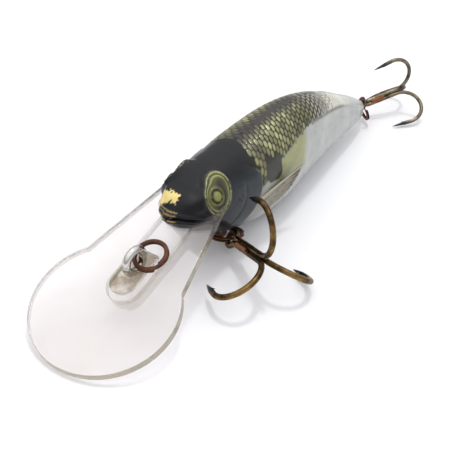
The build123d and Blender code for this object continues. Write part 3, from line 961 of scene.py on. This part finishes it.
# ------------------------------------------------------------------ lip, line tie and rings
@dataclass
class DivingLip:
    """The clear lip: a flat plate with a boss under it and a dish about the line tie's foot."""

    pitch: float = 19.1
    thickness: float = 1.4
    below_eye: float = 1.71
    tip: float = 19.8
    rx: float = 11.55
    ry: float = 12.45
    neck_front: float = 9.9
    neck_rear: float = 5.8
    neck_end: float = -16.2
    tongue_end: float = -20.8
    tongue_half: float = 3.3

    def matrix(self) -> Matrix:
        """From the lip's own plane to the part's frame."""
        a = math.radians(self.pitch)
        x = Vector((math.cos(a), 0, -math.sin(a)))
        z = Vector((math.sin(a), 0, math.cos(a)))
        turn = Matrix((x, Vector((0, 1, 0)), z)).transposed().to_4x4()
        return Matrix.Translation(z * -self.below_eye * MM) @ turn

    def outline(self) -> Array:
        """The plate's outline: round paddle, small hollow corners, tapering neck and tongue."""
        centre = self.tip - self.rx
        start = math.asin(self.neck_front / self.ry)
        sweep = np.linspace(math.pi - start, -math.pi + start, 150)
        paddle = np.column_stack([centre + self.rx * np.cos(sweep), self.ry * np.sin(sweep)])
        join_x = paddle[0, 0]
        right = [
            (join_x - 0.30, -self.neck_front + 0.34),
            (join_x - 0.80, -self.neck_front + 0.42),
            (self.neck_end, -self.neck_rear),
            (self.neck_end, -self.tongue_half),
            (self.tongue_end, -self.tongue_half),
        ]
        left = [(x, -y) for x, y in reversed(right)]
        return np.array([*paddle, *right, *left])

    @staticmethod
    def slab(name: str, outline: Array, low: float, high: float, bevel: float) -> Object:
        """A plate with rounded rims.

        Args:
            name: its name.
            outline: its outline in the lip's plane (mm).
            low, high: heights of its two faces; bevel: radius of its rims (mm).
        Returns:
            The plate as plain mesh.
        """
        curve = bpy.data.curves.new(name, "CURVE")
        curve.dimensions = "2D"
        curve.fill_mode = "BOTH"
        spline = curve.splines.new("POLY")
        spline.points.add(len(outline) - 1)
        corners = np.column_stack([outline * MM, np.zeros(len(outline)), np.ones(len(outline))])
        spline.points.foreach_set("co", corners.ravel())
        spline.use_cyclic_u = True
        curve.extrude = ((high - low) / 2 - bevel) * MM
        curve.bevel_depth = bevel * MM
        curve.bevel_resolution = 3
        curve.offset = -bevel * MM
        obj = bpy.data.objects.new(name, curve)
        bpy.context.scene.collection.objects.link(obj)
        obj.location.z = (low + high) / 2 * MM
        return flattened(obj)

    @staticmethod
    def stadium(back: float, front: float, half: float) -> Array:
        """A long outline with a square back and a round front."""
        a = np.linspace(-math.pi / 2, math.pi / 2, 40)
        nose = np.column_stack([front - half + half * np.cos(a), half * np.sin(a)])
        return np.vstack([nose, [(back, half), (back, -half)]])

    def build(self) -> None:
        """The plate with its boss added below and its dish cut above."""
        half = self.thickness / 2
        plate = self.slab("lip_plate", self.outline(), -half, half, 0.22)
        tools = (
            ("UNION", self.slab("lip_boss", self.stadium(-13.5, 6.4, 3.0), -half - 0.85, 0.0, 0.25)),
            ("DIFFERENCE", self.slab("lip_dish", self.stadium(-2.9, 5.6, 2.2), half - 0.9, half + 1.5, 0.3)),
        )
        for deed, tool in tools:
            cut = plate.modifiers.new(deed.lower(), "BOOLEAN")
            cut.operation = deed
            cut.object = tool
            cut.solver = "EXACT"
        plate = flattened(plate)
        for _, tool in tools:
            bpy.data.objects.remove(tool)
        plate.name = "clear_lip"
        plate.data.materials.clear()
        for finish in (CLEAR, CLEAR_EDGE_PAINTED_LINES, MILKY):
            plate.data.materials.append(finish.make())
        for face in plate.data.polygons:
            floor_of_dish = face.normal.z > 0.5 and face.center.z < (half - 0.3) * MM
            # the dish floor takes the milky finish; the rims and walls take the painted light lines
            face.material_index = 2 if floor_of_dish else int(abs(face.normal.z) < 0.8)
        plate.data.transform(self.matrix())
        shade(plate, 30)
        mount(plate, "lure_body", "clear_lip", "diving_lip")


@dataclass
class SplitRing:
    """A split ring of flattened spring wire."""

    name: str
    node: str
    body: str
    centre: tuple
    normal: tuple
    radius: float
    wire: float
    turn: float = 0.0

    def build(self, coil: CoilTree) -> None:
        """Winds the ring and hangs it on its own body."""
        place = (
            Matrix.Translation(Vector(self.centre) * MM)
            @ Vector(self.normal).to_track_quat("Z", "Y").to_matrix().to_4x4()
            @ Matrix.Rotation(math.radians(self.turn), 4, "Z")
        )
        obj = coil.run(self.name, place, self.radius, self.wire)
        mount(obj, self.body, "rusted_wire", self.node)


# ------------------------------------------------------------------ treble hooks
@dataclass
class Treble:
    """A treble hook: a pair bent from one wire through the eye, and a third hook laid between."""

    place: str
    eye: tuple
    yaw: float
    rise: float
    roll: float
    wire: float
    shank: float
    bend: float
    leg: float
    eye_r: float
    single: int
    finish: Finish = BRONZE
    toe_in: float = 6.5

    def __post_init__(self) -> None:
        """Works out the shank's axis and the directions across it."""
        yaw, rise = math.radians(self.yaw), math.radians(self.rise)
        self.centre = np.array(self.eye)
        self.axis = np.array([math.cos(yaw) * math.cos(rise), math.sin(yaw) * math.cos(rise), math.sin(rise)])
        self.up = unit(np.array([0, 0, 1.0]) - self.axis * self.axis[2])
        self.side = np.cross(self.up, self.axis)

    def radial(self, index: int) -> Array:
        """The direction in which one hook stands out from the shank."""
        turn = math.radians(120 * index + self.roll)
        return self.up * math.cos(turn) + self.side * math.sin(turn)

    def hook(self, index: int, offset: float, start: float) -> tuple:
        """One hook from its shank's start to its point.

        Args:
            index: which of the three hooks.
            offset: distance of its shank from the treble's axis; start: where the shank starts (mm).
        Returns:
            Points, wire radii and distances from the tip.
        """
        out = self.radial(index)
        u = [np.linspace(start, self.shank, 30)[:-1]]
        r = [np.full(29, offset)]
        arc = np.radians(np.linspace(-90, 90 + self.toe_in, 60))
        u.append(self.shank + self.bend * np.cos(arc))
        r.append(offset + self.bend + self.bend * np.sin(arc))
        t = np.linspace(0, self.leg, 24)[1:]
        end = arc[-1]
        u.append(u[-1][-1] - t * math.sin(end))
        r.append(r[-1][-1] + t * math.cos(end))
        u, r = np.concatenate(u), np.concatenate(r)
        points = self.centre + u[:, None] * self.axis + r[:, None] * out
        step = np.linalg.norm(np.diff(points, axis=0), axis=1)
        tip = np.append(np.cumsum(step[::-1])[::-1], 0.0)
        radius = self.wire * np.clip(0.10 + 0.90 * (tip / (0.7 * self.leg)) ** 0.8, 0.1, 1.0)
        return points, radius, tip

    def barb(self, hook: tuple) -> tuple:
        """The sliver lifted from a spear's inner side."""
        points, _, tip = hook
        i = int(np.argmin(np.abs(tip - self.leg * 0.40)))
        spear = unit(points[i + 1] - points[i - 1])
        to_shank = self.centre + self.axis * self.shank - points[i]
        inward = unit(to_shank - spear * (to_shank @ spear))
        t = np.linspace(0, 1, 8)
        reach = self.wire * 2.7
        path = points[i] + t[:, None] * reach * unit(spear * -0.86 + inward * 0.5)
        return path, self.wire * (0.52 - 0.46 * t), self.leg * 0.4

    def build(self, tree: WireTree) -> None:
        """The pair and the third hook, each as its own piece on the treble's body."""
        single = self.radial(self.single)
        across = np.cross(single, self.axis)
        first, second = (self.hook((self.single + k) % 3, self.wire * 1.10, self.eye_r + 0.9) for k in (1, 2))
        sign = np.sign(self.radial((self.single + 1) % 3) @ across)
        open_a = math.asin(min(0.95 * self.wire / self.eye_r, 0.9))
        turn = np.linspace(open_a, 2 * math.pi - open_a, 64)
        round_eye = np.cos(turn)[:, None] * self.axis + sign * np.sin(turn)[:, None] * across
        loop = self.centre + self.eye_r * round_eye
        path = np.vstack([first[0][::-1], loop, second[0]])
        radius = np.concatenate([first[1][::-1], np.full(64, self.wire), second[1]])
        tips = np.concatenate([first[2][::-1], np.full(64, 30.0), second[2]])
        wires = [(path, radius, tips), self.barb(first), self.barb(second)]
        pair = wire_along(f"{self.place}_hooks", wires, tree)
        mount(pair, f"{self.place}_treble", "bronzed_hook", f"{self.place}_hook_pair")
        third = self.hook(self.single, self.wire * 1.24, self.eye_r + self.wire * 1.7)
        extra = wire_along(f"{self.place}_single_hook", [third, self.barb(third)], tree)
        mount(extra, f"{self.place}_treble", "bronzed_hook", f"{self.place}_third_hook")


@dataclass
class MachinedParts:
    """CAD nodes that show as they are, each with its finish."""

    def dress(self, nodes: dict) -> None:
        """Gives every kept node its material."""
        finishes = {
            # the line tie's eye: bright plating with painted reflections
            "line_tie_eye": SILVER,
            "belly_hanger": RUST,
            "tail_hanger": RUST,
            "belly_hook_braze": COPPER,
            "tail_hook_braze": COPPER,
            "front_ballast": LEAD,
            "rear_ballast": LEAD,
            "front_rattle_ball": STEEL,
            "rear_rattle_ball": STEEL,
        }
        for name, finish in finishes.items():
            nodes[name].data.materials.clear()
            nodes[name].data.materials.append(finish.make())
            log.info("%s: %s", name, finish.name)


# ------------------------------------------------------------------ studio
@dataclass
class Studio:
    """A pale table, a bright sky, one small square lamp that glints on the brow, and the camera."""

    camera: tuple = (73.6, 71.29, 81.54)
    back: tuple = (0.6489, 0.4772, 0.5927)
    lens: float = 68.04
    sensor: float = 36.0
    table_half: float = 3000.0
    horizon: float = 0.52
    zenith: float = 1.45
    brow: tuple = (-14.39, 1.78, 7.5)
    to_window: tuple = (-0.218, -0.016, 0.976)
    window_away: float = 1200.0
    window_side: float = 0.13
    window_power: float = 3.0

    def lamp(self, place: Vector, aim: Vector, size: float, power: float) -> None:
        """Hangs a square white lamp.

        Args:
            place: where it hangs (mm); aim: the point that it faces (mm).
            size: length of its side in metres; power: its power in watts.
        """
        data = bpy.data.lights.new("window", "AREA")
        data.size = size
        data.energy = power
        obj = bpy.data.objects.new("window", data)
        bpy.context.scene.collection.objects.link(obj)
        obj.location = place * MM
        obj.rotation_euler = (place - aim).to_track_quat("Z", "Y").to_euler()
        obj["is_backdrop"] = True

    def build(self) -> None:
        """Sets the table, the sky, the lamp and the camera."""
        half = self.table_half
        corners = [(x * half, y * half, TABLE_Z) for x, y in ((-1, -1), (1, -1), (1, 1), (-1, 1))]
        floor = mesh_object("table", np.array(corners), [(0, 1, 2, 3)])
        floor.data.materials.append(Finish("white table top", "F4F4F5", roughness=0.55).make())
        floor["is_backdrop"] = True
        world = bpy.data.worlds.new("soft room")
        world.use_nodes = True
        background = world.node_tree.nodes["Background"]
        background.inputs["Color"].default_value = linear("FCFCFF")
        sky = add(world.node_tree, "ShaderNodeTexCoord")
        height = add(world.node_tree, "ShaderNodeSeparateXYZ", {0: sky.outputs["Generated"]})
        ins = {0: height.outputs[2], 1: 0.25, 2: 0.9, 3: self.horizon, 4: self.zenith}
        strength = add(world.node_tree, "ShaderNodeMapRange", ins)
        world.node_tree.links.new(strength.outputs[0], background.inputs["Strength"])
        bpy.context.scene.world = world
        bpy.context.scene.view_settings.view_transform = "Standard"
        brow = Vector(self.brow)
        self.lamp(brow + Vector(self.to_window) * self.window_away, brow, self.window_side, self.window_power)
        back = Vector(self.back).normalized()
        view = Vector(self.camera)
        right = Vector((0, 0, 1)).cross(back).normalized()
        up = back.cross(right)
        data = bpy.data.cameras.new("camera")
        data.lens = self.lens
        data.sensor_width = self.sensor
        data.clip_start = 0.005
        camera = bpy.data.objects.new("camera", data)
        camera.matrix_world = Matrix.Translation(view * MM) @ Matrix((right, up, back)).transposed().to_4x4()
        bpy.context.scene.collection.objects.link(camera)
        bpy.context.scene.camera = camera


def plain_bounds() -> object:
    """The whole object's box as plain lists."""
    return json.loads(json.dumps(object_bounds(), default=list))


def main() -> None:
    """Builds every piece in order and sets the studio."""
    logging.basicConfig(level=logging.INFO, format="%(message)s")
    before = plain_bounds()
    scale = master_scale()
    FishBody().build(ScaleTree(scale, SCALES.make()), PectoralFin())
    bpy.data.objects.remove(scale)
    DivingLip().build()
    coil = CoilTree(RUST.make())
    rings = (
        SplitRing("line_ring", "line_tie_ring", "tie_ring", (-2.14, 1.40, 0.37),
                  (-0.32, 0, -0.95), 2.6, 0.42, 200),
        SplitRing("belly_ring_coil", "belly_split_ring", "belly_ring", (-20.464, 2.408, -6.003),
                  (0.243, 0.153, -0.958), 2.7, 0.42, 60),
        SplitRing("tail_ring_coil", "tail_split_ring", "tail_ring", (-72.244, 0.408, -5.727),
                  (0.750, -0.562, -0.349), 1.95, 0.31, 30),
    )
    for ring in rings:
        ring.build(coil)
    trebles = (
        Treble("belly", (-19.104, 4.633, -5.303), yaw=60.9, rise=18.0, roll=6.4, wire=0.5, shank=11.2,
               bend=4.4, leg=3.5, eye_r=1.3, single=1),
        Treble("tail", (-73.395, -1.165, -5.664), yaw=146.7, rise=12.4, roll=0.0, wire=0.4, shank=8.7,
               bend=3.6, leg=4.1, eye_r=1.05, single=0, finish=BRONZE_GREY),
    )
    for treble in trebles:
        treble.build(WireTree(treble.finish.name, treble.finish.make()))
    MachinedParts().dress(frame["nodes"])
    Studio().build()
    {"frame": before, "visual": plain_bounds()}


if __name__ == "__main__":
    main()
